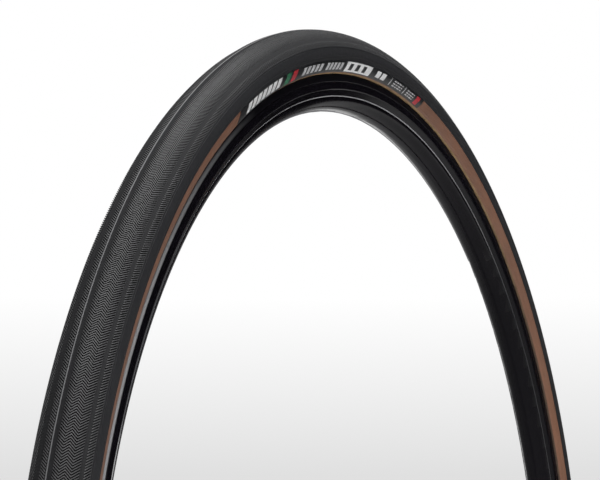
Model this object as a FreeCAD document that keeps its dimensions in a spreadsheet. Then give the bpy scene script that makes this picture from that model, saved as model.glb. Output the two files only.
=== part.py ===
import FreeCAD, Part
import math
import os
import Sketcher

# Road bicycle tyre, mounted and inflated on a shallow black rim.
# Frame: origin at the wheel's centre, +Y along the wheel's axle, +Z up, millimetres.
# The valve is at the bottom of the wheel and points up, towards the axle.

doc = FreeCAD.newDocument("mounted_tyre")
sheet = doc.addObject("Spreadsheet::Sheet", "Dims")

DIMS = [
    ("crown_radius", 341.0), ("section_radius", 14.4), ("carcass_drop", 0.8),
    ("skin_radius", 13.5), ("skin_thickness", 0.5), ("ply_thickness", 0.5),
    ("liner_thickness", 0.4), ("belt_thickness", 0.5), ("belt_angle", 40.0),
    ("tread_angle", 98.0), ("tread_bevel_angle", 93.0), ("tread_step", 0.3),
    ("chafer_lip_angle", 146.0), ("chafer_sole", 0.55), ("bead_floor", 0.35),
    ("label_thickness", 0.1), ("label_low_angle", 140.0), ("label_top_angle", 99.5),
    ("label_span", 43.5), ("label_centre", 104.5),
    ("rim_inner_radius", 298.9), ("rim_edge_radius", 305.9), ("rim_edge_offset", 8.0), ("valve_seat_radius", 6.4), ("valve_seat_rise", 0.5),
    ("rim_bed_radius", 309.4), ("seat_radius", 311.0),
    ("flange_top", 317.5), ("flange_inner", 8.5), ("flange_thickness", 1.4),
    ("rim_wall", 1.2), ("toe_offset", 5.1), ("hump_height", 0.35),
    ("valve_hole_radius", 3.1), ("stem_radius", 3.0), ("stem_bore_radius", 2.1),
    ("stem_head_radius", 3.7), ("stem_head_thickness", 1.4), ("gasket_thickness", 3.2),
    ("gasket_length", 14.0), ("gasket_width", 5.6), ("stem_top", 46.4),
    ("pump_seat_length", 10.0), ("relief_width", 1.0), ("relief_radius", 2.75),
    ("nut_bottom", 11.4), ("nut_height", 5.0), ("nut_radius", 6.0), ("nut_bore_radius", 3.06),
    ("nut_recess_radius", 4.9), ("nut_recess_depth", 1.1), ("nut_notches", 24.0),
    ("oring_radius", 4.05), ("oring_cord_radius", 0.7), ("oring_height", 11.8),
    ("core_bore_radius", 0.88), ("core_inner_radius", 2.05), ("core_outer_radius", 2.6),
    ("core_bottom", 36.0), ("core_seal_thickness", 0.5), ("core_top", 53.0),
    ("pin_radius", 0.8), ("pin_top", 62.0), ("pin_bottom", 33.4), ("pin_head_radius", 1.05),
    ("pin_foot_radius", 1.3), ("pin_seal_radius", 1.7), ("pin_seal_thickness", 1.2),
    ("thumb_bottom", 53.05), ("thumb_height", 3.5), ("thumb_radius", 2.2),
    ("thumb_bore_radius", 0.87), ("thumb_notches", 14.0),
    ("cap_bottom", 46.7), ("cap_top", 67.0), ("cap_bore_radius", 2.7),
    ("cap_skirt_radius", 3.9), ("cap_tip_radius", 2.95), ("cap_roof", 1.6),
    ("cap_flutes", 12.0),
]
for row, (alias, value) in enumerate(DIMS, start=1):
    sheet.set("A%d" % row, alias.replace("_", " "))
    sheet.set("B%d" % row, "%g" % value)
    sheet.setAlias("B%d" % row, alias)
doc.recompute()


def number(expression):
    result = sheet.evalExpression(expression)
    return float(getattr(result, "Value", result))


def plane_of(body, role):
    for feature in body.Origin.OriginFeatures:
        if feature.Role == role:
            return feature
    raise RuntimeError("no plane " + role)


def new_body(label):
    body = doc.addObject("PartDesign::Body", label)
    body.Label = label
    return body


def new_sketch(body, name, role):
    sketch = body.newObject("Sketcher::SketchObject", name)
    sketch.AttachmentSupport = [(plane_of(body, role), "")]
    sketch.MapMode = "FlatFace"
    return sketch


def bind(sketch, index, expression):
    sketch.setExpression("Constraints[%d]" % index, expression)


def pin_point(sketch, geo, pos, point):
    # holds one point of the outline at its place, by expressions on the sheet
    for kind, axis, expression in (("DistanceX", -2, point[0]), ("DistanceY", -1, point[1])):
        value = number(expression)
        if abs(value) < 1e-9:
            sketch.addConstraint(Sketcher.Constraint("PointOnObject", geo, pos, axis))
        else:
            bind(sketch, sketch.addConstraint(
                Sketcher.Constraint(kind, -1, 1, geo, pos, value)), expression)


def outline(sketch, points, arcs=None):
    # closed outline through the points; arcs[i] = (centre x, centre y, turn) bends the run
    # from point i to the next about that centre, turn +1 anticlockwise, -1 clockwise
    arcs = arcs or {}
    count = len(points)
    place = [FreeCAD.Vector(number(x), number(y), 0) for x, y in points]
    geos = []
    ends = []
    for i in range(count):
        a, b = place[i], place[(i + 1) % count]
        if i in arcs:
            cx, cy, turn = arcs[i]
            centre = FreeCAD.Vector(number(cx), number(cy), 0)
            radius = (a - centre).Length
            start, end = (a, b) if turn > 0 else (b, a)
            first = math.atan2(start.y - centre.y, start.x - centre.x)
            last = math.atan2(end.y - centre.y, end.x - centre.x)
            while last <= first:
                last += 2 * math.pi
            geo = sketch.addGeometry(Part.ArcOfCircle(
                Part.Circle(centre, FreeCAD.Vector(0, 0, 1), radius), first, last), False)
            ends.append((1, 2) if turn > 0 else (2, 1))
        else:
            geo = sketch.addGeometry(Part.LineSegment(a, b), False)
            ends.append((1, 2))
        geos.append(geo)
    for i in range(count):
        j = (i + 1) % count
        sketch.addConstraint(Sketcher.Constraint(
            "Coincident", geos[i], ends[i][1], geos[j], ends[j][0]))
    for i in range(count):
        pin_point(sketch, geos[i], ends[i][0], points[i])
    for i, (cx, cy, turn) in arcs.items():
        x, y = points[i]
        expression = "sqrt(((%s) - (%s))^2 + ((%s) - (%s))^2)" % (x, cx, y, cy)
        bind(sketch, sketch.addConstraint(
            Sketcher.Constraint("Radius", geos[i], number(expression))), expression)


def turned(body, sketch, name, angle=None):
    turn = body.newObject("PartDesign::Revolution", name)
    turn.Profile = sketch
    turn.ReferenceAxis = (sketch, ["V_Axis"])
    turn.Angle = 360.0
    if angle:
        turn.Midplane = True
        turn.setExpression("Angle", angle)
    sketch.Visibility = False
    return turn


def ring(label, points, arcs=None, angle=None):
    # a piece turned about the wheel's axle; x is the radius and y the place along the axle
    body = new_body(label)
    sketch = new_sketch(body, label + "_section", "XY_Plane")
    outline(sketch, points, arcs)
    turned(body, sketch, label + "_turn", angle)
    return body


def lathe(label, points, arcs=None):
    # a valve piece turned about the valve's own axis; its height is counted from the rim bed
    body = new_body(label)
    sketch = new_sketch(body, label + "_section", "XZ_Plane")
    outline(sketch, points, arcs)
    turned(body, sketch, label + "_turn")
    body.setExpression(".Placement.Base.z", "-Dims.rim_bed_radius")
    return body


# ---- section of the tyre: all layers are offsets of one envelope ----
SR = "(Dims.crown_radius - Dims.section_radius)"
CR = "(Dims.crown_radius - Dims.section_radius - Dims.carcass_drop)"
FR = "(Dims.flange_top - Dims.flange_thickness / 2)"
FY = "(Dims.flange_inner + Dims.flange_thickness / 2)"
RISE = "(%s - Dims.flange_top)" % CR
# the arc that is tangent to the flange's top and to the casing circle
ARC = "((Dims.skin_radius^2 - %s^2 - %s^2) / (2 * (Dims.skin_radius - %s)))" % (RISE, FY, RISE)
KR = "(Dims.flange_top + %s)" % ARC
UR = "((%s - %s) / (Dims.skin_radius - %s))" % (KR, CR, ARC)
UY = "(%s / (Dims.skin_radius - %s))" % (FY, ARC)
T_SKIN = "Dims.skin_thickness"
T_PLY1 = "(Dims.skin_thickness + Dims.ply_thickness)"
T_PLY2 = "(Dims.skin_thickness + 2 * Dims.ply_thickness)"
T_LINER = "(Dims.skin_thickness + 2 * Dims.ply_thickness + Dims.liner_thickness)"


def flank(t):
    return (FR, "(Dims.flange_inner - %s)" % t)


def brim(t):
    return ("(Dims.flange_top + %s)" % t, FY)


def shoulder(t):
    return ("(%s + (%s - %s) * %s)" % (KR, ARC, t, UR), "(%s + (%s - %s) * %s)" % (FY, ARC, t, UY))


def on_casing(t, angle):
    return ("(%s + (Dims.skin_radius - %s) * cos(%s))" % (CR, t, angle),
            "((Dims.skin_radius - %s) * sin(%s))" % (t, angle))


def on_knee(t, angle):
    return ("(%s + (%s - %s) * cos(%s))" % (KR, ARC, t, angle),
            "(%s + (%s - %s) * sin(%s))" % (FY, ARC, t, angle))


def side(point, s):
    return point if s > 0 else (point[0], "(-1 * %s)" % point[1])


def sided(points, arcs, s):
    out = {}
    for i, (cx, cy, turn) in arcs.items():
        cx2, cy2 = side((cx, cy), s)
        out[i] = (cx2, cy2 if cy != "0" else "0", turn * s)
    return [side(p, s) for p in points], out


# tread: black rubber cap, thick at the crown and thin at its edges
lip = "(-1 * Dims.tread_step)"
half = [
    ("(%s + Dims.section_radius * cos(Dims.tread_bevel_angle))" % SR,
     "(Dims.section_radius * sin(Dims.tread_bevel_angle))"),
    on_casing(lip, "Dims.tread_angle"),
    on_casing(T_SKIN, "Dims.tread_angle"),
    on_casing(T_SKIN, "Dims.belt_angle"),
    on_casing("(Dims.skin_thickness - Dims.belt_thickness)", "Dims.belt_angle"),
]
points = half + [side(p, -1) for p in reversed(half)]
ring("tread", points, {2: (CR, "0", -1), 4: (CR, "0", -1), 6: (CR, "0", -1), 9: (SR, "0", 1)})

# breaker belt under the crown
BT = "(Dims.skin_thickness - Dims.belt_thickness)"
points = [on_casing(T_SKIN, "Dims.belt_angle"), on_casing(BT, "Dims.belt_angle"),
          side(on_casing(BT, "Dims.belt_angle"), -1), side(on_casing(T_SKIN, "Dims.belt_angle"), -1)]
ring("breaker_belt", points, {1: (CR, "0", -1), 3: (CR, "0", 1)})


def shell(label, outer, inner, tail_outer, tail_inner):
    # a layer from bead to bead: the chain up one side, over the crown and back inside
    up = [side(p, -1) for p in tail_outer] + [side(flank(outer), -1), side(brim(outer), -1), side(shoulder(outer), -1)]
    down = [shoulder(outer), brim(outer), flank(outer)] + list(reversed(tail_outer))
    back = list(tail_inner) + [flank(inner), brim(inner), shoulder(inner)]
    last = [side(p, -1) for p in reversed(back)]
    points = up + down + back + last
    n = len(tail_outer)
    arcs = {n: (FR, "(-1 * %s)" % FY, -1), n + 1: (KR, "(-1 * %s)" % FY, 1), n + 2: (CR, "0", 1),
            n + 3: (KR, FY, 1), n + 4: (FR, FY, -1)}
    m = len(up) + len(down) + len(tail_inner)
    arcs.update({m: (FR, FY, 1), m + 1: (KR, FY, -1), m + 2: (CR, "0", -1),
                 m + 3: (KR, "(-1 * %s)" % FY, -1), m + 4: (FR, "(-1 * %s)" % FY, 1)})
    return ring(label, points, arcs)


FLOOR = "(Dims.seat_radius + Dims.chafer_sole)"
TOE1 = "(Dims.toe_offset + Dims.bead_floor)"
TURN_TOP = "(Dims.seat_radius + 2.9)"
APEX = "(%s - 0.5)" % FR


def y_at(t):
    return "(Dims.flange_inner - %s)" % t


# two plies that run down the outside of each bead, held there by the chafer
shell("casing_outer_ply", T_SKIN, T_PLY1, [(FLOOR, y_at(T_SKIN))], [(FLOOR, y_at(T_PLY1))])
shell("casing_inner_ply", T_PLY1, T_PLY2, [(FLOOR, y_at(T_PLY1))], [(FLOOR, y_at(T_PLY2))])

# airtight liner, down to each bead toe
shell("inner_liner", T_PLY2, T_LINER,
      [(FLOOR, TOE1), (TURN_TOP, TOE1), (APEX, y_at(T_PLY2))],
      [(FLOOR, "Dims.toe_offset"), ("(%s + 0.25)" % TURN_TOP, "Dims.toe_offset")])

for s, hand in ((1, "left"), (-1, "right")):
    # bead: bundle of cords with a tapering top
    points, arcs = sided([(FLOOR, y_at(T_PLY2)), (FLOOR, TOE1), (TURN_TOP, TOE1), (APEX, y_at(T_PLY2))], {}, s)
    ring("bead_" + hand, points, arcs)

    # chafer: tan strip between bead and rim, its lip showing above the flange
    points, arcs = sided(
        [("Dims.seat_radius", "Dims.toe_offset"), ("Dims.seat_radius", "Dims.flange_inner"), flank("0"), brim("0"),
         on_knee("0", "Dims.chafer_lip_angle"), on_knee(T_SKIN, "Dims.chafer_lip_angle"),
         brim(T_SKIN), flank(T_SKIN), (FLOOR, y_at(T_SKIN)), (FLOOR, "Dims.toe_offset")],
        {2: (FR, FY, 1), 3: (KR, FY, -1), 5: (KR, FY, 1), 6: (FR, FY, -1)}, s)
    ring("chafer_" + hand, points, arcs)

    # sidewall: brown skin from the chafer's lip to the tread's edge
    points, arcs = sided(
        [on_knee("0", "Dims.chafer_lip_angle"), shoulder("0"), on_casing("0", "Dims.tread_angle"),
         on_casing(T_SKIN, "Dims.tread_angle"), shoulder(T_SKIN), on_knee(T_SKIN, "Dims.chafer_lip_angle")],
        {0: (KR, FY, -1), 1: (CR, "0", -1), 3: (CR, "0", 1), 4: (KR, FY, 1)}, s)
    ring("sidewall_" + hand, points, arcs)

    # label: thin black transfer on the sidewall
    out = "(-1 * Dims.label_thickness)"
    points, arcs = sided(
        [on_knee(out, "Dims.label_low_angle"), shoulder(out), on_casing(out, "Dims.label_top_angle"),
         on_casing("0", "Dims.label_top_angle"), shoulder("0"), on_knee("0", "Dims.label_low_angle")],
        {0: (KR, FY, -1), 1: (CR, "0", -1), 3: (CR, "0", 1), 4: (KR, FY, 1)}, s)
    body = ring("label_" + hand, points, arcs, "Dims.label_span")
    body.Placement = FreeCAD.Placement(FreeCAD.Vector(), FreeCAD.Rotation(FreeCAD.Vector(0, -1, 0), number("Dims.label_centre")))
    body.setExpression(".Placement.Rotation.Angle", "Dims.label_centre")

# ---- rim ----
FO = "(Dims.flange_inner + Dims.flange_thickness)"
WR = "((Dims.rim_edge_offset^2 + (Dims.rim_edge_radius - Dims.rim_inner_radius)^2) / (2 * (Dims.rim_edge_radius - Dims.rim_inner_radius)))"
WC = "(Dims.rim_inner_radius + %s)" % WR
half = [
    ("Dims.rim_edge_radius", "Dims.rim_edge_offset"),
    ("(Dims.rim_edge_radius + 0.35)", "(Dims.rim_edge_offset + 0.28)"),
    ("(Dims.rim_edge_radius + 3.3)", "(%s - 0.4)" % FO),
    ("(Dims.rim_edge_radius + 3.7)", FO),
    ("(Dims.flange_top - 4.3)", FO),
    ("(Dims.flange_top - 4.1)", "(%s - 0.15)" % FO),
    ("(Dims.flange_top - 3.9)", FO),
    (FR, FO),
    ("Dims.flange_top", FY),
    (FR, "Dims.flange_inner"),
    ("Dims.seat_radius", "Dims.flange_inner"),
    ("Dims.seat_radius", "(Dims.toe_offset - 0.1)"),
    ("(Dims.seat_radius + Dims.hump_height)", "(Dims.toe_offset - 0.4)"),
    ("Dims.seat_radius", "(Dims.toe_offset - 0.7)"),
    ("Dims.rim_bed_radius", "(Dims.toe_offset - 0.95)"),
]
points = half + [side(p, -1) for p in reversed(half)] + [("Dims.rim_inner_radius", "0")]
n = len(points)
FYN = "(-1 * %s)" % FY
arcs = {
    7: (FR, FY, -1), 8: (FR, FY, -1),
    n - 10: (FR, FYN, -1), n - 11: (FR, FYN, -1),
    n - 2: (WC, "0", -1), n - 1: (WC, "0", -1),
}
rim = new_body("rim")
sketch = new_sketch(rim, "rim_section", "XY_Plane")
outline(sketch, points, arcs)
WALL_Y = "(%s - 1.6)" % FO
WALL_R = "(%s - Dims.rim_wall)" % WR
outline(sketch, [
    (WC, WALL_R),
    ("(Dims.seat_radius - Dims.rim_wall)", WALL_Y),
    ("(Dims.seat_radius - Dims.rim_wall)", "(Dims.toe_offset + 0.1)"),
    ("(Dims.rim_bed_radius - Dims.rim_wall)", "(Dims.toe_offset - 0.5)"),
    ("(Dims.rim_bed_radius - Dims.rim_wall)", "(-1 * (Dims.toe_offset - 0.5))"),
    ("(Dims.seat_radius - Dims.rim_wall)", "(-1 * (Dims.toe_offset + 0.1))"),
    ("(Dims.seat_radius - Dims.rim_wall)", "(-1 * %s)" % WALL_Y),
    (WC, "(-1 * %s)" % WALL_R),
    ("(Dims.rim_inner_radius + Dims.rim_wall)", "0"),
], {7: (WC, "0", -1), 8: (WC, "0", -1)})
turned(rim, sketch, "rim_turn")
doc.recompute()
before = rim.Shape.Volume

# flat seat for the lock nut, on the rim's rounded inner face
SEAT_TOP = "(Dims.rim_inner_radius - Dims.valve_seat_rise)"
sketch = new_sketch(rim, "valve_seat_circle", "XY_Plane")
circle = sketch.addGeometry(Part.Circle(FreeCAD.Vector(0, 0, 0), FreeCAD.Vector(0, 0, 1), number("Dims.valve_seat_radius")), False)
sketch.addConstraint(Sketcher.Constraint("Coincident", circle, 3, -1, 1))
bind(sketch, sketch.addConstraint(Sketcher.Constraint("Radius", circle, number("Dims.valve_seat_radius"))), "Dims.valve_seat_radius")
sketch.setExpression(".AttachmentOffset.Base.z", "-1 * (%s + 4.6)" % SEAT_TOP)
seat = rim.newObject("PartDesign::Pad", "valve_seat")
seat.Profile = sketch
seat.Length = 4.6
doc.recompute()
gained = rim.Shape.Volume - before
print("valve seat adds", round(gained, 1), "mm3")
if not 100 < gained < 500:
    raise RuntimeError("valve seat added the wrong amount")
before = rim.Shape.Volume
sketch = new_sketch(rim, "valve_hole_circle", "XY_Plane")
circle = sketch.addGeometry(Part.Circle(FreeCAD.Vector(0, 0, 0), FreeCAD.Vector(0, 0, 1), number("Dims.valve_hole_radius")), False)
sketch.addConstraint(Sketcher.Constraint("Coincident", circle, 3, -1, 1))
bind(sketch, sketch.addConstraint(Sketcher.Constraint("Radius", circle, number("Dims.valve_hole_radius"))), "Dims.valve_hole_radius")
hole = rim.newObject("PartDesign::Pocket", "valve_hole")
hole.Profile = sketch
hole.setExpression("Length", "Dims.crown_radius")
doc.recompute()
lost = before - rim.Shape.Volume
print("valve hole removes", round(lost, 1), "mm3")
if not 100 < lost < 240:
    raise RuntimeError("valve hole cut the wrong amount")
if rim.Shape.isInside(FreeCAD.Vector(0, 0, -number("Dims.rim_inner_radius") - 0.6), 0.01, True):
    raise RuntimeError("valve hole points the wrong way")

# ---- valve ----
GB = "(-1 * Dims.gasket_thickness)"
# rubber block that seats on the rim bed round the stem
gasket = new_body("valve_gasket")
sketch = new_sketch(gasket, "gasket_profile", "XZ_Plane")
GX = "(Dims.gasket_length / 2)"
GZ = "(-1 * sqrt(Dims.rim_bed_radius^2 - %s^2))" % GX
GL = "(-1 * (Dims.rim_bed_radius + Dims.gasket_thickness))"
outline(sketch, [
    ("(-1 * %s)" % GX, GZ), ("(-1 * %s)" % GX, "(%s + 1)" % GL), ("(-1 * (%s - 1.5))" % GX, GL),
    ("(%s - 1.5)" % GX, GL), (GX, "(%s + 1)" % GL), (GX, GZ)],
    {5: ("0", "0", -1)})
pad = gasket.newObject("PartDesign::Pad", "gasket_pad")
pad.Profile = sketch
pad.Midplane = True
pad.setExpression("Length", "Dims.gasket_width")
doc.recompute()
before = gasket.Shape.Volume
sketch = new_sketch(gasket, "gasket_circle", "XY_Plane")
circle = sketch.addGeometry(Part.Circle(FreeCAD.Vector(0, 0, 0), FreeCAD.Vector(0, 0, 1), number("Dims.stem_radius - 0.6")), False)
sketch.addConstraint(Sketcher.Constraint("Coincident", circle, 3, -1, 1))
bind(sketch, sketch.addConstraint(Sketcher.Constraint("Radius", circle, number("Dims.stem_radius - 0.6"))), "Dims.stem_radius - 0.6")
hole = gasket.newObject("PartDesign::Pocket", "gasket_hole")
hole.Profile = sketch
hole.setExpression("Length", "Dims.crown_radius")
doc.recompute()
if not 40 < before - gasket.Shape.Volume < 80:
    raise RuntimeError("gasket hole cut the wrong amount")

SHELF = "(Dims.stem_top - Dims.pump_seat_length)"
lathe("valve_stem", [
    ("Dims.stem_bore_radius - 0.7", "(%s - Dims.stem_head_thickness)" % GB),
    ("(Dims.stem_head_radius - 0.4)", "(%s - Dims.stem_head_thickness)" % GB),
    ("Dims.stem_head_radius", "(%s - Dims.stem_head_thickness + 0.4)" % GB),
    ("Dims.stem_head_radius", GB),
    ("(Dims.stem_radius - 0.6)", GB),
    ("(Dims.stem_radius - 0.6)", "0.3"),
    ("Dims.stem_radius", "0.9"),
    ("Dims.stem_radius", "(%s - Dims.relief_width)" % SHELF),
    ("Dims.relief_radius", "(%s - Dims.relief_width + 0.25)" % SHELF),
    ("Dims.relief_radius", "(%s - 0.25)" % SHELF),
    ("Dims.stem_radius", SHELF),
    ("Dims.stem_radius", "(Dims.stem_top - 0.3)"),
    ("(Dims.stem_radius - 0.3)", "Dims.stem_top"),
    ("Dims.stem_bore_radius", "Dims.stem_top"),
    ("Dims.stem_bore_radius", "(Dims.core_bottom - 6)"),
    ("(Dims.stem_bore_radius - 0.7)", "(Dims.core_bottom - 6.7)"),
])

# lock nut with a recess for the sealing ring and a knurled rim
nut = lathe("valve_lock_nut", [
    ("Dims.nut_bore_radius", "(Dims.nut_bottom + Dims.nut_recess_depth)"),
    ("Dims.nut_recess_radius", "(Dims.nut_bottom + Dims.nut_recess_depth)"),
    ("Dims.nut_recess_radius", "Dims.nut_bottom"),
    ("(Dims.nut_radius - 0.3)", "Dims.nut_bottom"),
    ("Dims.nut_radius", "(Dims.nut_bottom + 0.3)"),
    ("Dims.nut_radius", "(Dims.nut_bottom + Dims.nut_height - 1.2)"),
    ("(Dims.nut_radius - 1.2)", "(Dims.nut_bottom + Dims.nut_height)"),
    ("(Dims.nut_bore_radius + 0.3)", "(Dims.nut_bottom + Dims.nut_height)"),
    ("Dims.nut_bore_radius", "(Dims.nut_bottom + Dims.nut_height - 0.3)"),
])


def notched(body, prefix, radius, depth, half_width, number_of, low, high):
    # one vee notch along the height, repeated round the piece
    doc.recompute()
    before = body.Shape.Volume
    sketch = new_sketch(body, prefix + "_notch", "XY_Plane")
    outline(sketch, [("(%s - %s)" % (radius, depth), "0"),
                     ("(%s + 0.5)" % radius, "(-1 * %s)" % half_width),
                     ("(%s + 0.5)" % radius, half_width)])
    sketch.setExpression(".AttachmentOffset.Base.z", high)
    cut = body.newObject("PartDesign::Pocket", prefix + "_cut")
    cut.Profile = sketch
    cut.setExpression("Length", "(%s) - (%s)" % (high, low))
    doc.recompute()
    one = before - body.Shape.Volume
    pattern = body.newObject("PartDesign::PolarPattern", prefix + "_pattern")
    pattern.Originals = [cut]
    pattern.Axis = (sketch, ["N_Axis"])
    pattern.Angle = 360.0
    pattern.setExpression("Occurrences", number_of)
    body.Tip = pattern
    doc.recompute()
    total = before - body.Shape.Volume
    print(prefix, "one notch", round(one, 3), "all", round(total, 3))
    if not (one > 0 and total > 0.9 * one * number(number_of)):
        raise RuntimeError(prefix + " notches did not cut")


notched(nut, "nut", "Dims.nut_radius", "0.35", "0.7", "Dims.nut_notches",
        "Dims.nut_bottom + 0.7", "Dims.nut_bottom + Dims.nut_height + 0.1")

# sealing ring held in the nut's recess
oring = new_body("valve_o_ring")
sketch = new_sketch(oring, "oring_section", "XZ_Plane")
circle = sketch.addGeometry(Part.Circle(FreeCAD.Vector(number("Dims.oring_radius"), number("Dims.oring_height"), 0), FreeCAD.Vector(0, 0, 1), number("Dims.oring_cord_radius")), False)
pin_point(sketch, circle, 3, ("Dims.oring_radius", "Dims.oring_height"))
bind(sketch, sketch.addConstraint(Sketcher.Constraint("Radius", circle, number("Dims.oring_cord_radius"))), "Dims.oring_cord_radius")
turned(oring, sketch, "oring_turn")
oring.setExpression(".Placement.Base.z", "-Dims.rim_bed_radius")

# removable core: body with a shouldered head, and its washer
SEAL_TOP = "(Dims.stem_top + Dims.core_seal_thickness)"
lathe("valve_core_body", [
    ("Dims.core_bore_radius", "Dims.core_bottom"),
    ("(Dims.core_inner_radius - 0.3)", "Dims.core_bottom"),
    ("Dims.core_inner_radius", "(Dims.core_bottom + 0.3)"),
    ("Dims.core_inner_radius", SEAL_TOP),
    ("Dims.core_outer_radius", SEAL_TOP),
    ("Dims.core_outer_radius", "(Dims.core_top - 0.4)"),
    ("(Dims.core_outer_radius - 0.4)", "Dims.core_top"),
    ("Dims.core_bore_radius", "Dims.core_top"),
])
lathe("valve_core_washer", [
    ("Dims.core_inner_radius", "Dims.stem_top"), ("(Dims.core_outer_radius - 0.05)", "Dims.stem_top"),
    ("(Dims.core_outer_radius - 0.05)", SEAL_TOP), ("Dims.core_inner_radius", SEAL_TOP)])

# pin with a foot that carries the rubber seal
FOOT = "(Dims.core_bottom - Dims.pin_seal_thickness - 0.05)"
lathe("valve_pin", [
    ("0", "Dims.pin_bottom"),
    ("(Dims.pin_foot_radius - 0.3)", "Dims.pin_bottom"),
    ("Dims.pin_foot_radius", "(Dims.pin_bottom + 0.3)"),
    ("Dims.pin_foot_radius", FOOT),
    ("Dims.pin_radius", FOOT),
    ("Dims.pin_radius", "(Dims.pin_top - 0.9)"),
    ("Dims.pin_head_radius", "(Dims.pin_top - 0.6)"),
    ("Dims.pin_head_radius", "(Dims.pin_top - 0.2)"),
    ("(Dims.pin_head_radius - 0.2)", "Dims.pin_top"),
    ("0", "Dims.pin_top"),
])
lathe("valve_pin_seal", [
    ("Dims.pin_radius", FOOT), ("Dims.pin_seal_radius", FOOT),
    ("Dims.pin_seal_radius", "(Dims.core_bottom - 0.35)"),
    ("(Dims.pin_seal_radius - 0.3)", "(Dims.core_bottom - 0.05)"),
    ("Dims.pin_radius", "(Dims.core_bottom - 0.05)")])

# thumb nut that locks the pin shut
thumb = lathe("valve_thumb_nut", [
    ("Dims.thumb_bore_radius", "Dims.thumb_bottom"),
    ("(Dims.thumb_radius - 0.5)", "Dims.thumb_bottom"),
    ("Dims.thumb_radius", "(Dims.thumb_bottom + 0.5)"),
    ("Dims.thumb_radius", "(Dims.thumb_bottom + Dims.thumb_height - 0.3)"),
    ("(Dims.thumb_radius - 0.3)", "(Dims.thumb_bottom + Dims.thumb_height)"),
    ("Dims.thumb_bore_radius", "(Dims.thumb_bottom + Dims.thumb_height)"),
])
notched(thumb, "thumb", "Dims.thumb_radius", "0.18", "0.75", "Dims.thumb_notches",
        "Dims.thumb_bottom - 0.1", "Dims.thumb_bottom + Dims.thumb_height + 0.1")

# cap over the core
cap = lathe("valve_cap", [
    ("Dims.cap_bore_radius", "Dims.cap_bottom"),
    ("(Dims.cap_skirt_radius - 0.2)", "Dims.cap_bottom"),
    ("Dims.cap_skirt_radius", "(Dims.cap_bottom + 0.2)"),
    ("Dims.cap_skirt_radius", "(Dims.cap_bottom + 6)"),
    ("(Dims.cap_tip_radius + 0.1)", "(Dims.cap_top - 1.5)"),
    ("(Dims.cap_tip_radius - 1.2)", "Dims.cap_top"),
    ("0", "Dims.cap_top"),
    ("0", "(Dims.cap_top - Dims.cap_roof)"),
    ("(Dims.cap_bore_radius - 0.9)", "(Dims.cap_top - Dims.cap_roof)"),
    ("(Dims.cap_bore_radius - 0.2)", "(Dims.cap_top - Dims.cap_roof - 6)"),
    ("Dims.cap_bore_radius", "(Dims.cap_top - Dims.cap_roof - 7)"),
])
notched(cap, "cap", "Dims.cap_skirt_radius", "0.3", "0.6", "Dims.cap_flutes",
        "Dims.cap_bottom + 0.6", "Dims.cap_bottom + 6.5")

doc.recompute()
bad = [o.Name for o in doc.Objects if "Invalid" in o.State or "Error" in o.State]
if bad:
    raise RuntimeError("failed objects: " + ", ".join(bad))
bodies = [o for o in doc.Objects if o.TypeId == "PartDesign::Body"]
for body in bodies:
    if body.Shape.isNull() or not body.Shape.isValid() or not body.Shape.Solids:
        raise RuntimeError("bad shape: " + body.Label)
os.makedirs("parts", exist_ok=True)
for body in bodies:
    body.Shape.exportStep("parts/%s.step" % body.Label)
    b = body.Shape.optimalBoundingBox(True, False)
    print("%-18s solids %d  vol %10.2f  x %.2f..%.2f y %.2f..%.2f z %.2f..%.2f" % (
        body.Label, len(body.Shape.Solids), body.Shape.Volume, b.XMin, b.XMax, b.YMin, b.YMax, b.ZMin, b.ZMax))
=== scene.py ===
import bpy
import math
import numpy as np
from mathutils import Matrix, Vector


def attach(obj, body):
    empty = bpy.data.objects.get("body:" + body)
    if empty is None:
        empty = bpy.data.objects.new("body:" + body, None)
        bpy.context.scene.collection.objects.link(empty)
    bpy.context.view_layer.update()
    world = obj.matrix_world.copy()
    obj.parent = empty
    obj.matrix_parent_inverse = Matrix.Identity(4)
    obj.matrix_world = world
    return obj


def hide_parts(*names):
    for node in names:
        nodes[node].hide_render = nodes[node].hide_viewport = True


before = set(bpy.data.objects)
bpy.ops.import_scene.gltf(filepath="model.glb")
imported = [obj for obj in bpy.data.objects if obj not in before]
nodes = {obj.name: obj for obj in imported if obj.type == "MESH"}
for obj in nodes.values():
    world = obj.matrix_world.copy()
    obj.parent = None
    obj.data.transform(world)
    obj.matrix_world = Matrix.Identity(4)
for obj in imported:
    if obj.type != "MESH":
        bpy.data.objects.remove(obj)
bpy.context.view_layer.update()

# ---------------------------------------------------------------- sizes (mm, as in the frame)
R_CROWN = 341.0
RT = 14.4                      # section radius of the tread
RS = R_CROWN - RT              # radius of the section's centre
RC = RS - 0.8                  # centre of the casing circle
RHO = 13.5                     # casing circle, outside of the skin
FLANGE = 317.5
FY = 9.2
ARC = (RHO ** 2 - (RC - FLANGE) ** 2 - FY ** 2) / (2 * (RHO - (RC - FLANGE)))
KR = FLANGE + ARC
KNEE = math.degrees(math.atan2(FY, KR - RC))     # angle where the knee arc meets the casing circle
MM = 0.001


# ---------------------------------------------------------------- mesh helpers
def make_object(name, verts, faces, smooth=True):
    mesh = bpy.data.meshes.new(name)
    mesh.from_pydata([tuple(v) for v in verts], [], [tuple(f) for f in faces])
    mesh.update()
    if smooth:
        mesh.shade_smooth()
    obj = bpy.data.objects.new(name, mesh)
    bpy.context.scene.collection.objects.link(obj)
    return obj


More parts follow.
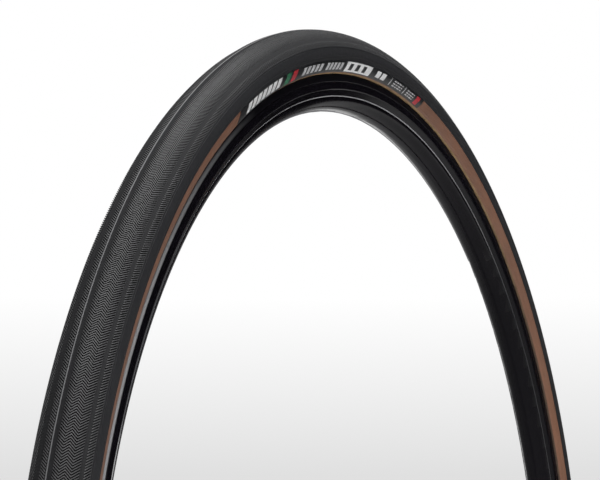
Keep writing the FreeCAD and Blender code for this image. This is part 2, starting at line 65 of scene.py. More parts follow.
def grid_object(name, grid, wrap_u=True, wrap_v=False, flip=False):
    # grid: rows x columns x 3 in metres; columns wrap round the wheel, rows may wrap round the section
    rows, cols = grid.shape[:2]
    co = grid.reshape(-1, 3).astype(np.float32)
    i = np.arange(rows if wrap_v else rows - 1)
    j = np.arange(cols if wrap_u else cols - 1)
    I, J = np.meshgrid(i, j, indexing="ij")
    I2 = (I + 1) % rows
    J2 = (J + 1) % cols
    a, b, c, d = I * cols + J, I * cols + J2, I2 * cols + J2, I2 * cols + J
    quads = np.stack([a, d, c, b] if flip else [a, b, c, d], -1).reshape(-1, 4)
    mesh = bpy.data.meshes.new(name)
    mesh.vertices.add(len(co))
    mesh.vertices.foreach_set("co", co.ravel())
    mesh.loops.add(quads.size)
    mesh.loops.foreach_set("vertex_index", quads.ravel().astype(np.int32))
    mesh.polygons.add(len(quads))
    mesh.polygons.foreach_set("loop_start", np.arange(0, quads.size, 4, dtype=np.int32))
    mesh.update(calc_edges=True)
    mesh.validate()
    mesh.shade_smooth()
    obj = bpy.data.objects.new(name, mesh)
    bpy.context.scene.collection.objects.link(obj)
    return obj


def ring_point(r, y, theta):
    return np.stack([r * np.cos(theta), y + 0 * theta, r * np.sin(theta)], -1) * MM


# ---------------------------------------------------------------- node helpers
def material(name):
    m = bpy.data.materials.new(name)
    m.use_nodes = True
    nt = m.node_tree
    nt.nodes.clear()
    out = nt.nodes.new("ShaderNodeOutputMaterial")
    bsdf = nt.nodes.new("ShaderNodeBsdfPrincipled")
    nt.links.new(bsdf.outputs[0], out.inputs["Surface"])
    return m, nt, bsdf


class Net:
    def __init__(self, nt):
        self.nt = nt

    def node(self, kind, **props):
        n = self.nt.nodes.new(kind)
        for k, v in props.items():
            setattr(n, k, v)
        return n

    def put(self, socket, value):
        if isinstance(value, bpy.types.NodeSocket):
            self.nt.links.new(value, socket)
        else:
            socket.default_value = value

    def math(self, op, a, b=0.0, c=0.0, clamp=False):
        n = self.node("ShaderNodeMath", operation=op)
        n.use_clamp = clamp
        self.put(n.inputs[0], a)
        self.put(n.inputs[1], b)
        self.put(n.inputs[2], c)
        return n.outputs[0]

    def mix(self, f, a, b):
        n = self.node("ShaderNodeMix", data_type="RGBA")
        self.put(n.inputs[0], f)
        self.put(n.inputs[6], a)
        self.put(n.inputs[7], b)
        return n.outputs[2]

    def blend(self, f, a, b):
        n = self.node("ShaderNodeMix", data_type="FLOAT")
        self.put(n.inputs[0], f)
        self.put(n.inputs[2], a)
        self.put(n.inputs[3], b)
        return n.outputs[0]

    def noise(self, vector, scale, detail=3.0, rough=0.55):
        n = self.node("ShaderNodeTexNoise")
        self.put(n.inputs["Vector"], vector)
        n.inputs["Scale"].default_value = scale
        n.inputs["Detail"].default_value = detail
        n.inputs["Roughness"].default_value = rough
        return n.outputs[0]

    def ramp(self, value, lo, hi, a=0.0, b=1.0):
        n = self.node("ShaderNodeMapRange")
        n.inputs["From Min"].default_value = lo
        n.inputs["From Max"].default_value = hi
        n.inputs["To Min"].default_value = a
        n.inputs["To Max"].default_value = b
        self.put(n.inputs["Value"], value)
        return n.outputs[0]

    def bump(self, height, strength, distance, normal=None):
        n = self.node("ShaderNodeBump")
        n.inputs["Strength"].default_value = strength
        n.inputs["Distance"].default_value = distance
        self.put(n.inputs["Height"], height)
        if normal is not None:
            self.put(n.inputs["Normal"], normal)
        return n.outputs[0]

    def object_coords(self):
        return self.node("ShaderNodeTexCoord").outputs["Object"]

    def wheel_coords(self):
        # (distance round the wheel and distance up the sidewall in metres, angle round the wheel, radius) from object
        # coordinates
        xyz = self.node("ShaderNodeSeparateXYZ")
        self.put(xyz.inputs[0], self.object_coords())
        x, y, z = xyz.outputs
        theta = self.math("ARCTAN2", z, x)
        radius = self.math("SQRT", self.math("ADD", self.math("MULTIPLY", x, x), self.math("MULTIPLY", z, z)))
        around = self.math("MULTIPLY", theta, 0.322)
        section = self.math("ARCTAN2", self.math("ABSOLUTE", y), self.math("SUBTRACT", radius, RC * MM))
        up = self.math("MULTIPLY", section, -RHO * MM)
        return around, up, theta, radius


def srgb(r, g, b):
    f = lambda c: (c / 255 / 12.92) if c <= 10.31 else (((c / 255) + 0.055) / 1.055) ** 2.4
    return (f(r), f(g), f(b), 1.0)


# ---------------------------------------------------------------- materials
def mat_tread():
    m, nt, bsdf = material("tread_rubber")
    n = Net(nt)
    oc = n.object_coords()
    around, up, theta, radius = n.wheel_coords()
    xyz = n.node("ShaderNodeSeparateXYZ")
    n.put(xyz.inputs[0], oc)
    y = xyz.outputs[1]
    dr = n.math("SUBTRACT", radius, RS * MM)
    height = n.math("SUBTRACT", n.math("SQRT", n.math("ADD", n.math("MULTIPLY", dr, dr), n.math("MULTIPLY", y, y))), RT * MM)
    crest = n.ramp(height, -0.00013, -0.00002)
    broad = n.noise(oc, 9.0, 4.0)
    fine = n.noise(oc, 420.0, 3.0, 0.6)
    grit = n.noise(oc, 2600.0, 2.0, 0.6)
    f = n.math("ADD", n.math("MULTIPLY", broad, 0.5), n.math("MULTIPLY", fine, 0.5))
    # Painted shade: only the rib crests (top) get the lit rubber grey; the gap floors (low) are painted near black,
    # and the plain strips (smooth) and the shoulder are painted darker, standing in for shade on one rubber.
    top = n.mix(n.ramp(f, 0.3, 0.7), (0.040, 0.040, 0.0415, 1), (0.066, 0.066, 0.068, 1))
    low = n.mix(n.ramp(f, 0.3, 0.7), (0.0009, 0.0009, 0.0010, 1), (0.0022, 0.0022, 0.0025, 1))
    smooth = n.mix(n.ramp(f, 0.3, 0.7), (0.0048, 0.0048, 0.0056, 1), (0.0088, 0.0088, 0.0100, 1))
    shoulder = n.mix(n.ramp(f, 0.3, 0.7), (0.013, 0.013, 0.0145, 1), (0.020, 0.020, 0.022, 1))
    angle = n.math("ARCTAN2", n.math("ABSOLUTE", y), dr)
    base = n.mix(n.ramp(height, -0.00040, -0.00020), low, smooth)
    base = n.mix(crest, base, top)
    # Painted highlight: the centre ridge is painted a lighter grey along its length.
    middle = n.ramp(n.math("ABSOLUTE", y), 0.00034, 0.00022)
    base = n.mix(middle, base, (0.105, 0.105, 0.108, 1))
    base = n.mix(n.ramp(angle, math.radians(71.2), math.radians(71.8)), base, shoulder)
    n.put(bsdf.inputs["Base Color"], base)
    n.put(bsdf.inputs["Roughness"], n.blend(crest, 0.9, n.ramp(fine, 0.3, 0.7, 0.50, 0.64)))
    bsdf.inputs["Specular IOR Level"].default_value = 0.26
    b1 = n.bump(grit, 0.25, 0.00005)
    b2 = n.bump(fine, 0.3, 0.0001, b1)
    n.put(bsdf.inputs["Normal"], b2)
    return m


def mat_sidewall():
    m, nt, bsdf = material("brown_sidewall")
    n = Net(nt)
    around, up, theta, radius = n.wheel_coords()
    oc = n.object_coords()
    # two sets of casing threads on the bias, 0.42 mm apart
    k = 2 * math.pi / 0.00060
    d1 = n.math("SINE", n.math("MULTIPLY", n.math("ADD", around, up), k))
    d2 = n.math("SINE", n.math("MULTIPLY", n.math("SUBTRACT", around, up), k))
    weave = n.math("MULTIPLY", n.math("ADD", n.math("MAXIMUM", d1, d2), 1.0), 0.5)
    broad = n.noise(oc, 14.0, 4.0)
    mid = n.noise(oc, 120.0, 4.0)
    comb = n.node("ShaderNodeCombineXYZ")
    n.put(comb.inputs[0], n.math("MULTIPLY", around, 0.12))
    n.put(comb.inputs[1], up)
    streak = n.noise(comb.outputs[0], 900.0, 3.0)
    f = n.math("ADD", n.math("MULTIPLY", broad, 0.5), n.math("ADD", n.math("MULTIPLY", mid, 0.3), n.math("MULTIPLY", streak, 0.2)))
    base = n.mix(n.ramp(f, 0.35, 0.65), srgb(104, 66, 47), srgb(131, 88, 64))
    base = n.mix(n.math("MULTIPLY", n.ramp(weave, 0.55, 0.95), 0.22), base, srgb(152, 114, 88))
    n.put(bsdf.inputs["Base Color"], base)
    n.put(bsdf.inputs["Roughness"], n.ramp(mid, 0.3, 0.7, 0.42, 0.58))
    b1 = n.bump(weave, 0.35, 0.00006)
    b2 = n.bump(mid, 0.25, 0.00015, b1)
    n.put(bsdf.inputs["Normal"], b2)
    return m


def mat_chafer():
    m, nt, bsdf = material("tan_chafer")
    n = Net(nt)
    around, up, theta, radius = n.wheel_coords()
    k = 2 * math.pi / 0.0008
    d1 = n.math("SINE", n.math("MULTIPLY", n.math("ADD", around, n.math("MULTIPLY", radius, 1.0)), k))
    d2 = n.math("SINE", n.math("MULTIPLY", n.math("SUBTRACT", around, n.math("MULTIPLY", radius, 1.0)), k))
    weave = n.math("MULTIPLY", n.math("ADD", n.math("MAXIMUM", d1, d2), 1.0), 0.5)
    mid = n.noise(n.object_coords(), 160.0, 4.0)
    base = n.mix(n.ramp(mid, 0.35, 0.65), srgb(136, 106, 70), srgb(160, 130, 90))
    base = n.mix(n.math("MULTIPLY", weave, 0.25), base, srgb(120, 98, 76))
    # Painted shade: where |theta| is under 38 degrees the tan lip is painted darker, grading back to the full tan by
    # 64 degrees.
    tan_lip_painted_shade = n.mix(n.ramp(mid, 0.35, 0.65), srgb(64, 47, 34), srgb(84, 62, 45))
    base = n.mix(n.ramp(n.math("ABSOLUTE", theta), math.radians(38), math.radians(64)), tan_lip_painted_shade, base)
    n.put(bsdf.inputs["Base Color"], base)
    bsdf.inputs["Roughness"].default_value = 0.65
    n.put(bsdf.inputs["Normal"], n.bump(weave, 0.4, 0.00008))
    return m


def mat_rim():
    m, nt, bsdf = material("gloss_black_rim")
    n = Net(nt)
    oc = n.object_coords()
    peel = n.noise(oc, 260.0, 2.0)
    dust = n.noise(oc, 1400.0, 3.0, 0.7)
    broad = n.noise(oc, 8.0, 3.0)
    base = n.mix(n.ramp(broad, 0.3, 0.7), (0.0030, 0.0026, 0.0038, 1), (0.0052, 0.0044, 0.0064, 1))
    base = n.mix(n.math("MULTIPLY", n.ramp(dust, 0.68, 0.8), 0.04), base, (0.15, 0.15, 0.16, 1))
    around, up, theta, radius = n.wheel_coords()
    # Painted highlight: a light grey line along the inner corner edge, full where |theta| is over 80 degrees and faint
    # under 48 degrees, broken up by noise.
    corner = n.math("ABSOLUTE", n.math("SUBTRACT", radius, 0.30608))
    corner_highlight_breakup = n.noise(oc, 90.0, 3.0)
    turn = n.ramp(n.math("ABSOLUTE", theta), math.radians(48), math.radians(80), 0.12, 1.0)
    line = n.math("MULTIPLY", n.ramp(corner, 0.00028, 0.00014), n.math("MULTIPLY", turn, n.ramp(corner_highlight_breakup, 0.25, 0.5, 0.7, 1.0)))
    base = n.mix(line, base, (0.34, 0.34, 0.35, 1))
    # Painted highlight: a light grey band on the flange between radius 314 and 316 mm, only where |theta| is over
    # about 122 to 150 degrees.
    lip = n.math("MULTIPLY", n.math("MULTIPLY", n.ramp(radius, 0.3138, 0.3145), n.ramp(radius, 0.3168, 0.3158)), n.ramp(n.math("ABSOLUTE", theta), math.radians(122), math.radians(150), 0.0, 1.0))
    base = n.mix(lip, base, (0.33, 0.33, 0.34, 1))
    n.put(bsdf.inputs["Base Color"], base)
    # the lip above the turned groove is satin, the rest is polished
    n.put(bsdf.inputs["Roughness"], n.blend(n.ramp(radius, 0.3134, 0.3137), n.ramp(dust, 0.45, 0.8, 0.13, 0.17), n.ramp(dust, 0.45, 0.8, 0.33, 0.38)))
    bsdf.inputs["Specular IOR Level"].default_value = 0.07
    n.put(bsdf.inputs["Normal"], n.bump(peel, 0.03, 0.0002))
    return m


def mat_label():
    m, nt, bsdf = material("label_black")
    n = Net(nt)
    oc = n.object_coords()
    f = n.noise(oc, 300.0, 3.0)
    base = n.mix(n.ramp(f, 0.3, 0.7), (0.0045, 0.0047, 0.0055, 1), (0.0095, 0.0098, 0.011, 1))
    n.put(bsdf.inputs["Base Color"], base)
    n.put(bsdf.inputs["Roughness"], n.ramp(f, 0.3, 0.7, 0.30, 0.42))
    n.put(bsdf.inputs["Normal"], n.bump(f, 0.12, 0.0001))
    return m


def mat_ink(name, colour, spread=0.12):
    m, nt, bsdf = material(name)
    n = Net(nt)
    f = n.noise(n.object_coords(), 700.0, 4.0, 0.6)
    dark = tuple(c * (1 - spread * 2.2) for c in colour[:3]) + (1,)
    base = n.mix(n.ramp(f, 0.38, 0.68), dark, colour)
    n.put(bsdf.inputs["Base Color"], base)
    n.put(bsdf.inputs["Roughness"], n.ramp(f, 0.3, 0.7, 0.38, 0.5))
    n.put(bsdf.inputs["Normal"], n.bump(f, 0.1, 0.00005))
    return m


def mat_metal(name, colour, rough=0.3, axis="Z", lines=5200.0):
    # turned metal: fine rings about the valve's axis
    m, nt, bsdf = material(name)
    n = Net(nt)
    oc = n.object_coords()
    xyz = n.node("ShaderNodeSeparateXYZ")
    n.put(xyz.inputs[0], oc)
    comb = n.node("ShaderNodeCombineXYZ")
    n.put(comb.inputs[2], xyz.outputs[2])
    rings = n.noise(comb.outputs[0], lines, 2.0)
    f = n.noise(oc, 500.0, 3.0)
    dark = tuple(c * 0.75 for c in colour[:3]) + (1,)
    n.put(bsdf.inputs["Base Color"], n.mix(n.ramp(f, 0.3, 0.7), dark, colour))
    bsdf.inputs["Metallic"].default_value = 1.0
    n.put(bsdf.inputs["Roughness"], n.ramp(f, 0.3, 0.7, rough - 0.06, rough + 0.08))
    n.put(bsdf.inputs["Normal"], n.bump(rings, 0.15, 0.00003))
    return m


def mat_rubber(name, lo, hi, rough=0.6):
    m, nt, bsdf = material(name)
    n = Net(nt)
    f = n.noise(n.object_coords(), 350.0, 4.0)
    n.put(bsdf.inputs["Base Color"], n.mix(n.ramp(f, 0.3, 0.7), lo, hi))
    n.put(bsdf.inputs["Roughness"], n.ramp(f, 0.3, 0.7, rough - 0.08, rough + 0.1))
    n.put(bsdf.inputs["Normal"], n.bump(f, 0.2, 0.0001))
    return m


def mat_cloth(name, lo, hi, pitch=0.0007):
    m, nt, bsdf = material(name)
    n = Net(nt)
    around, up, theta, radius = n.wheel_coords()
    k = 2 * math.pi / pitch
    d1 = n.math("SINE", n.math("MULTIPLY", n.math("ADD", around, up), k))
    d2 = n.math("SINE", n.math("MULTIPLY", n.math("SUBTRACT", around, up), k))
    weave = n.math("MULTIPLY", n.math("ADD", n.math("MAXIMUM", d1, d2), 1.0), 0.5)
    n.put(bsdf.inputs["Base Color"], n.mix(weave, lo, hi))
    bsdf.inputs["Roughness"].default_value = 0.8
    n.put(bsdf.inputs["Normal"], n.bump(weave, 0.5, 0.0001))
    return m


def give(obj, mat):
    obj.data.materials.clear()
    obj.data.materials.append(mat)


# ---------------------------------------------------------------- tread
# Bands across the tread, by angle about the section's centre (negative = -Y side).
# Ribs run along zigzag lines: 'slope' is how far a rib moves round the wheel per mm across it.
RIBS = 1728
PROFILE = [(0.0, 0.0), (0.44, 0.0), (0.57, -1.0), (0.87, -1.0)]     # crest, then the floor of the gap
ARC_MM = math.pi / 180 * RT


def casing(t, angle):
    a = math.radians(angle)
    return (RC + (RHO - t) * math.cos(a), (RHO - t) * math.sin(a))


def at_tread(angle, h):
    a = math.radians(angle)
    return (RS + (RT + h) * math.cos(a), (RT + h) * math.sin(a))


def tread_piece(name, rows, inner, ribs=RIBS, profile=PROFILE):
    # rows: (section angle, height of the plain surface, depth of the gaps, slope of the ribs up to the next row)
    base = np.array([(k + p[0]) / ribs for k in range(ribs) for p in profile]) * 2 * math.pi
    wave = np.array([p[1] for k in range(ribs) for p in profile])
    grid = []
    shift = 0.0
    last = None
    for angle, height, depth, slope in rows:
        if last is not None:
            shift += last[1] * (angle - last[0]) * ARC_MM
        last = (angle, slope)
        theta = base - shift / R_CROWN
        h = height + depth * wave
        a = math.radians(angle)
        grid.append(ring_point(RS + (RT + h) * math.cos(a), (RT + h) * math.sin(a), theta))
    for r, y in inner:
        grid.append(ring_point(r + 0 * theta, y, theta))
    obj = grid_object(name, np.array(grid), wrap_u=True, wrap_v=True)
    obj.data.set_sharp_from_angle(angle=math.radians(62))
    return obj


DEPTH = 0.46
UP, DOWN = 0.92, -0.85
tread_parts = [
    # from the smooth strip beside the centre line to the smooth strip near the shoulder
    tread_piece("tread_crown", [
        (-56.0, -0.11, 0, 0), (-52.3, -0.11, 0, 0), (-51.6, 0, DEPTH, DOWN), (-45.5, 0, DEPTH, DOWN), (-39.2, 0, DEPTH, UP),
        (-34.2, 0, DEPTH, UP), (-29.2, 0, DEPTH, DOWN), (-24.7, 0, DEPTH, DOWN), (-20.2, 0, DEPTH, UP), (-15.0, 0, DEPTH, UP),
        (-9.6, 0, DEPTH, UP), (-8.8, -0.16, 0, 0), (-5.0, -0.16, 0, 0)], [at_tread(-30.5, -2.2)]),
    tread_piece("tread_middle", [
        (-5.0, -0.16, 0, 0), (-1.5, -0.16, 0, 0), (-0.9, 0.05, 0, 0), (0.9, 0.05, 0, 0), (1.5, -0.16, 0, 0), (2.4, -0.16, 0, 0),
        (3.0, 0, DEPTH, UP), (8.0, 0, DEPTH, UP), (13.0, 0, DEPTH, UP), (13.8, -0.16, 0, 0), (20.0, -0.16, 0, 0)], [at_tread(7.5, -1.5)]),
    tread_piece("tread_flank_right", [
        (-73.0, -0.03, 0, 0), (-71.7, -0.03, 0, 0), (-70.9, 0, DEPTH, DOWN), (-65.5, 0, DEPTH, DOWN), (-60.2, 0, DEPTH, DOWN), (-59.4, -0.11, 0, 0),
        (-56.0, -0.11, 0, 0)], [at_tread(-64.5, -0.9)]),
    tread_piece("tread_flank_left", [
        (20.0, -0.16, 0, 0), (27.2, -0.16, 0, 0), (28.0, 0, DEPTH, UP), (38.0, 0, DEPTH, UP), (48.0, 0, DEPTH, UP), (59.0, 0, DEPTH, UP),
        (70.9, 0, DEPTH, UP), (71.7, -0.03, 0, 0), (73.0, -0.03, 0, 0)], [at_tread(58.0, -1.1), at_tread(35.0, -1.1)]),
]
for hand, sg in (("left", 1), ("right", -1)):
    rows = [(73.0, -0.03, 0, 0), (73.8, -0.03, 0, 0), (74.4, -0.26, 0, 0), (75.0, -0.26, 0, 0), (75.5, 0.06, 0, 0), (76.1, 0.06, 0, 0),
            (76.7, 0, 0, 0), (80.0, 0, 0, 0), (84.0, 0, 0, 0), (88.0, 0, 0, 0), (91.0, 0, 0, 0), (93.0, -0.01, 0, 0)]
    inner = [casing(-0.28, 95.6), casing(-0.24, 98.0), casing(0.0, 98.25), casing(0.25, 98.0), casing(0.35, 85.0), at_tread(73.0, -0.8)]
    if sg < 0:
        rows = [(-a_, h_, d_, s_) for a_, h_, d_, s_ in reversed(rows)]
        inner = [(r_, -y_) for r_, y_ in inner][::-1]
        # keep the same sense round the section: surface rows first, then the inside
    tread_parts.append(tread_piece("tread_edge_" + hand, rows, inner, ribs=864, profile=[(0.0, 0.0)]))
mt = mat_tread()
for o in tread_parts:
    give(o, mt)
    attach(o, "tyre_and_rim")
    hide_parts("tread")

# ---------------------------------------------------------------- simple finishes on the carried-over nodes
ms = mat_sidewall()
mc = mat_chafer()
for side in ("left", "right"):
    give(nodes["sidewall_" + side], ms)
    give(nodes["chafer_" + side], mc)
    give(nodes["bead_" + side], mat_cloth("bead_cord_" + side, srgb(150, 128, 60), srgb(190, 168, 96)))
    give(nodes["label_" + side], mat_label())
give(nodes["rim"], mat_rim())
give(nodes["breaker_belt"], mat_cloth("belt_cloth", srgb(170, 150, 96), srgb(205, 186, 130)))
give(nodes["casing_outer_ply"], mat_cloth("ply_cloth_outer", srgb(110, 82, 58), srgb(150, 118, 88)))
give(nodes["casing_inner_ply"], mat_cloth("ply_cloth_inner", srgb(106, 80, 56), srgb(146, 114, 84)))
give(nodes["inner_liner"], mat_rubber("liner_rubber", (0.008, 0.008, 0.008, 1), (0.02, 0.02, 0.02, 1), 0.5))
give(nodes["valve_stem"], mat_metal("stem_metal", (0.055, 0.055, 0.060, 1), 0.32))
give(nodes["valve_lock_nut"], mat_metal("nut_metal", (0.060, 0.060, 0.066, 1), 0.34))
brass = mat_metal("turned_brass", (0.66, 0.46, 0.20, 1), 0.28)
for nme in ("valve_core_body", "valve_pin", "valve_thumb_nut"):
    give(nodes[nme], brass)
give(nodes["valve_core_washer"], mat_rubber("washer_rubber", (0.03, 0.012, 0.008, 1), (0.06, 0.025, 0.018, 1)))
give(nodes["valve_pin_seal"], mat_rubber("seal_rubber", (0.03, 0.012, 0.008, 1), (0.06, 0.025, 0.018, 1)))
give(nodes["valve_gasket"], mat_rubber("gasket_rubber", (0.010, 0.010, 0.010, 1), (0.022, 0.022, 0.022, 1)))
give(nodes["valve_o_ring"], mat_rubber("ring_rubber", (0.010, 0.010, 0.010, 1), (0.022, 0.022, 0.022, 1)))
give(nodes["valve_cap"], mat_rubber("cap_plastic", (0.008, 0.008, 0.009, 1), (0.016, 0.016, 0.018, 1), 0.32))

# ---------------------------------------------------------------- threaded valve stem
BED = 309.4
PITCH = 0.8
stem = [(1.4, -4.6), (3.3, -4.6), (3.7, -4.2), (3.7, -3.2), (2.4, -3.2), (2.4, 0.3), (2.62, 0.7)]
thread = [(None, 0.9 + 0.1 * i) for i in range(342)]
stem_top = [(2.62, 35.3), (2.75, 35.5), (2.75, 36.2), (2.99, 36.4), (2.99, 46.1), (2.7, 46.4), (2.1, 46.4), (2.1, 30.0), (1.4, 29.3)]
ang = np.arange(48) / 48 * 2 * np.pi
grid = []
for r, h in stem + thread + stem_top:
    if r is None:
        phase = (h / PITCH - ang / (2 * np.pi)) % 1.0
        tooth = np.clip(1.25 - np.abs(phase - 0.5) * 3.4, 0.0, 1.0)
        fade = min(1.0, (h - 0.9) / 0.8, (35.1 - h) / 0.8)
        rr = 2.62 + 0.36 * tooth * max(0.0, fade)
    else:
        rr = r + 0 * ang
    grid.append(np.stack([rr * np.cos(ang), rr * np.sin(ang), 0 * ang - BED + h], -1) * MM)
stem_obj = grid_object("valve_stem_threaded", np.array(grid), wrap_u=True, wrap_v=True)
stem_obj.data.set_sharp_from_angle(angle=math.radians(50))
give(stem_obj, nodes["valve_stem"].data.materials[0])
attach(stem_obj, "tyre_and_rim")
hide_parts("valve_stem")

# ---------------------------------------------------------------- printed labels
KNEE_LEN = (ARC + 0.1) * math.radians(140.0 - KNEE)
CASE_LEN = (RHO + 0.1) * math.radians(KNEE - 98.25)
LABEL_H = KNEE_LEN + CASE_LEN
TH_LEFT, TH_RIGHT = 126.25, 82.75


def label_rc(v, lift):
    # v: 0 at the label's lower edge, 1 at the top edge; lift above the skin in mm
    w_ = v * LABEL_H
    if w_ < KNEE_LEN:
        b_ = math.radians(140.0) - w_ / (ARC + 0.1)
        return KR + (ARC + lift) * math.cos(b_), FY + (ARC + lift) * math.sin(b_)
    b_ = math.radians(KNEE) - (w_ - KNEE_LEN) / (RHO + 0.1)
    return RC + (RHO + lift) * math.cos(b_), (RHO + lift) * math.sin(b_)


# lean of the print: degrees round the wheel per unit of height
LEAN = -0.85


def patch(bm_verts, bm_faces, sg, th0, th1, v0, v1, low, high, lean=LEAN, step=0.5, rows=6):
    # a thin closed pad that follows the sidewall, th in degrees (th0 > th1), leaning with height
    nu = max(1, int(math.ceil(abs(th0 - th1) / step)))
    nv = max(1, int(math.ceil((v1 - v0) * rows)))
    start = len(bm_verts)
    for lift in (low, high):
        for i in range(nv + 1):
            v = v0 + (v1 - v0) * i / nv
            r, y = label_rc(v, lift)
            for j in range(nu + 1):
                th = math.radians(th0 + (th1 - th0) * j / nu + lean * (v - 0.5))
                bm_verts.append((r * math.cos(th) * MM, sg * y * MM, r * math.sin(th) * MM))
    w_ = nu + 1
    layer = (nv + 1) * w_
    ix = lambda k, i, j: start + k * layer + i * w_ + j
    quads = []
    for i in range(nv):
        for j in range(nu):
            quads.append((ix(1, i, j), ix(1, i, j + 1), ix(1, i + 1, j + 1), ix(1, i + 1, j)))
            quads.append((ix(0, i, j), ix(0, i + 1, j), ix(0, i + 1, j + 1), ix(0, i, j + 1)))
    for j in range(nu):
        quads.append((ix(0, 0, j), ix(0, 0, j + 1), ix(1, 0, j + 1), ix(1, 0, j)))
        quads.append((ix(0, nv, j), ix(1, nv, j), ix(1, nv, j + 1), ix(0, nv, j + 1)))
    for i in range(nv):
        quads.append((ix(0, i, 0), ix(1, i, 0), ix(1, i + 1, 0), ix(0, i + 1, 0)))
        quads.append((ix(0, i, nu), ix(0, i + 1, nu), ix(1, i + 1, nu), ix(1, i, nu)))
    if sg < 0:
        bm_faces.extend(quads)
    else:
        bm_faces.extend([tuple(reversed(q)) for q in quads])


def bars(th0, th1, pattern, v0, v1):
    # a row of leaning bars and dashes: pattern gives (gap, width, low share, high share)
    total = sum(p[0] + p[1] for p in pattern)
    out = []
    th = th0
    for gap, width, lo, hi in pattern:
        th -= (th0 - th1) * gap / total
        out.append((th, th - (th0 - th1) * width / total, v0 + (v1 - v0) * lo, v0 + (v1 - v0) * hi))
        th -= (th0 - th1) * width / total
    return out


BOLD = [(0.5, 1.5, 0, 1), (0.6, 1.5, 0, 1), (0.6, 1.5, 0, 1), (0.6, 1.5, 0, 1), (0.6, 1.5, 0, 1), (0.6, 1.5, 0, 1), (0.6, 1.5, 0, 1)]
THIN = [(0.5, 0.9, 0, 1), (0.5, 0.9, 0, 1), (0.5, 0.9, 0, 1), (0.5, 0.9, 0, 1), (0.5, 0.9, 0, 1)]
PRINT = {"white": [], "red": [], "green": [], "grey": []}
PRINT["white"] += bars(124.6, 116.9, BOLD, 0.20, 0.90)
PRINT["green"] += [(115.8, 114.8, 0.12, 0.92)]
PRINT["red"] += [(114.3, 113.3, 0.12, 0.92)]
PRINT["grey"] += bars(112.2, 107.4, THIN, 0.24, 0.82)
PRINT["grey"] += bars(106.7, 102.7, THIN[::-1], 0.24, 0.82)
# a plain light panel with three equal slots
PRINT["white"] += [(101.9, 95.9, 0.80, 0.94), (101.9, 95.9, 0.10, 0.24)]
PRINT["white"] += [(101.9, 101.1, 0.24, 0.80), (100.3, 99.5, 0.24, 0.80), (98.7, 97.9, 0.24, 0.80), (97.1, 95.9, 0.24, 0.80)]
PRINT["white"] += bars(94.6, 92.3, [(0.1, 1.0, 0.0, 1.0), (0.35, 1.0, 0.0, 1.0)], 0.25, 0.85)
PRINT["grey"] += [(90.95, 90.82, 0.15, 0.88), (87.35, 87.22, 0.15, 0.88)]
for th_a, th_b in ((90.3, 87.9), (86.8, 84.9)):
    for v_a in (0.22, 0.44, 0.68):
        PRINT["grey"] += bars(th_a, th_b, [(0.2, 0.8, 0, 1), (0.3, 0.5, 0, 1), (0.3, 0.9, 0, 1), (0.3, 0.4, 0, 1)], v_a, v_a + 0.11)
PRINT["red"] += [(84.35, 83.55, 0.08, 0.92)]

INKS = {
    "white": mat_ink("ink_white", (0.86, 0.86, 0.86, 1), 0.08),
    "grey": mat_ink("ink_grey", (0.58, 0.58, 0.59, 1), 0.1),
    "red": mat_ink("ink_red", (0.50, 0.018, 0.030, 1)),
    "green": mat_ink("ink_green", (0.020, 0.16, 0.075, 1)),
}
mlabel = mat_label()
for hand, sg in (("left", 1), ("right", -1)):
    verts, faces = [], []
    patch(verts, faces, sg, TH_LEFT, TH_RIGHT, 0.0, 1.0, -0.05, 0.1, rows=16, step=0.4)
    panel = make_object("label_panel_" + hand, verts, faces)
    panel.data.set_sharp_from_angle(angle=math.radians(40))
    give(panel, mlabel)
    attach(panel, "tyre_and_rim")
    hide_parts("label_" + hand)
    for colour, items in PRINT.items():
        verts, faces = [], []
        for th0, th1, v0, v1 in items:
            patch(verts, faces, sg, th0, th1, v0, v1, 0.06, 0.135)
        obj = make_object("label_print_%s_%s" % (colour, hand), verts, faces)
        obj.data.set_sharp_from_angle(angle=math.radians(40))
        give(obj, INKS[colour])
        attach(obj, "tyre_and_rim")
        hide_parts("label_" + hand)

# ---------------------------------------------------------------- stage, light, camera
floor_z = -R_CROWN * MM
fm, fnt, fb = material("pale_floor")
fb.inputs["Base Color"].default_value = (0.78, 0.78, 0.78, 1)
fb.inputs["Roughness"].default_value = 0.8
# the sweep of the studio: the floor is given a glow that grows with distance from the wheel, painted light so that far
# off it looks evenly lit and meets the backdrop
fn = Net(fnt)
away = fn.node("ShaderNodeVectorMath", operation="LENGTH")
fn.put(away.inputs[0], fn.object_coords())
fb.inputs["Emission Color"].default_value = (1.0, 1.0, 1.0, 1)
fn.put(fb.inputs["Emission Strength"], fn.ramp(away.outputs["Value"], 1.3, 4.2, 0.0, 0.74))
floor = make_object("floor", [(-9, -9, floor_z), (9, -9, floor_z), (9, 9, floor_z), (-9, 9, floor_z)], [(0, 1, 2, 3)], smooth=False)
give(floor, fm)

world = bpy.data.worlds.new("studio")
bpy.context.scene.world = world
world.use_nodes = True
wt = world.node_tree
wt.nodes.clear()
w = Net(wt)
wout = w.node("ShaderNodeOutputWorld")
tc = w.node("ShaderNodeTexCoord")
sep = w.node("ShaderNodeSeparateXYZ")
w.put(sep.inputs[0], tc.outputs["Generated"])
rise = w.ramp(sep.outputs[2], 0.0655, 0.1515)
seen = w.mix(rise, (0.745, 0.745, 0.745, 1), (1.0, 1.0, 1.0, 1))
bg_seen = w.node("ShaderNodeBackground")
w.put(bg_seen.inputs[0], seen)
bg_seen.inputs[1].default_value = 1.0
bg_light = w.node("ShaderNodeBackground")
facing = w.node("ShaderNodeVectorMath", operation="DOT_PRODUCT")
w.put(facing.inputs[0], tc.outputs["Generated"])
facing.inputs[1].default_value = (0.902, 0.401, 0.160)
w.put(bg_light.inputs[0], w.mix(w.ramp(facing.outputs["Value"], 0.84, 0.97), (0.011, 0.011, 0.012, 1), (0.30, 0.30, 0.31, 1)))
bg_light.inputs[1].default_value = 1.0
lp = w.node("ShaderNodeLightPath")
mixs = w.node("ShaderNodeMixShader")
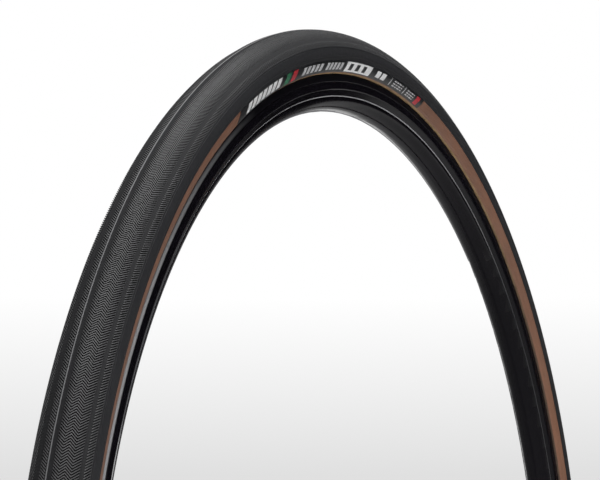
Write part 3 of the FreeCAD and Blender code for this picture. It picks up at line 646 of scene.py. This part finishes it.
w.put(mixs.inputs[0], lp.outputs["Is Camera Ray"])
w.put(mixs.inputs[1], bg_light.outputs[0])
w.put(mixs.inputs[2], bg_seen.outputs[0])
w.put(wout.inputs[0], mixs.outputs[0])


def area(name, place, target, size, power, colour=(1, 1, 1)):
    data = bpy.data.lights.new(name, "AREA")
    data.shape = "RECTANGLE"
    data.size, data.size_y = size
    data.energy = power
    data.color = colour
    obj = bpy.data.objects.new(name, data)
    bpy.context.scene.collection.objects.link(obj)
    obj.location = place
    obj.rotation_euler = (Vector(target) - Vector(place)).to_track_quat("-Z", "Y").to_euler()
    return obj


area("key", (-1.5, -0.7, 1.8), (-0.1, 0, 0.2), (0.9, 0.7), 50)
area("side", (-1.0, -2.1, 0.55), (0, 0, 0.1), (0.9, 1.2), 5)
area("top", (0.1, -0.2, 2.6), (0.1, 0, 0), (1.2, 1.2), 60)
area("back", (0.9, 1.5, 1.4), (0, 0, 0.25), (1.0, 0.8), 4)
area("far", (2.2, 0.95, -0.02), (0, 0, 0.2), (1.0, 0.5), 1.5).visible_camera = False

cam_data = bpy.data.cameras.new("camera")
cam = bpy.data.objects.new("camera", cam_data)
bpy.context.scene.collection.objects.link(cam)
bpy.context.scene.camera = cam
F, D, AZ, EL, PAN, TILT, SX, SY = 2030.7188, 1080.2395, 1.17896, 0.03473, -0.03578, 0.17427, 1.9574, 13.9875
pos = Vector((-math.sin(AZ) * math.cos(EL), -math.cos(AZ) * math.cos(EL), math.sin(EL))) * D * MM
yaw = AZ + PAN
look = Vector((math.sin(yaw) * math.cos(TILT), math.cos(yaw) * math.cos(TILT), math.sin(TILT)))
cam.location = pos
cam.rotation_euler = look.to_track_quat("-Z", "Y").to_euler()
cam_data.sensor_fit = "HORIZONTAL"
cam_data.sensor_width = 36.0
cam_data.lens = F / 600 * 36.0
cam_data.shift_x = -SX / 600
cam_data.shift_y = SY / 600
cam_data.clip_start = 0.01
cam_data.clip_end = 50
bpy.context.scene.view_settings.view_transform = "Standard"
bpy.context.scene.view_settings.look = "None"
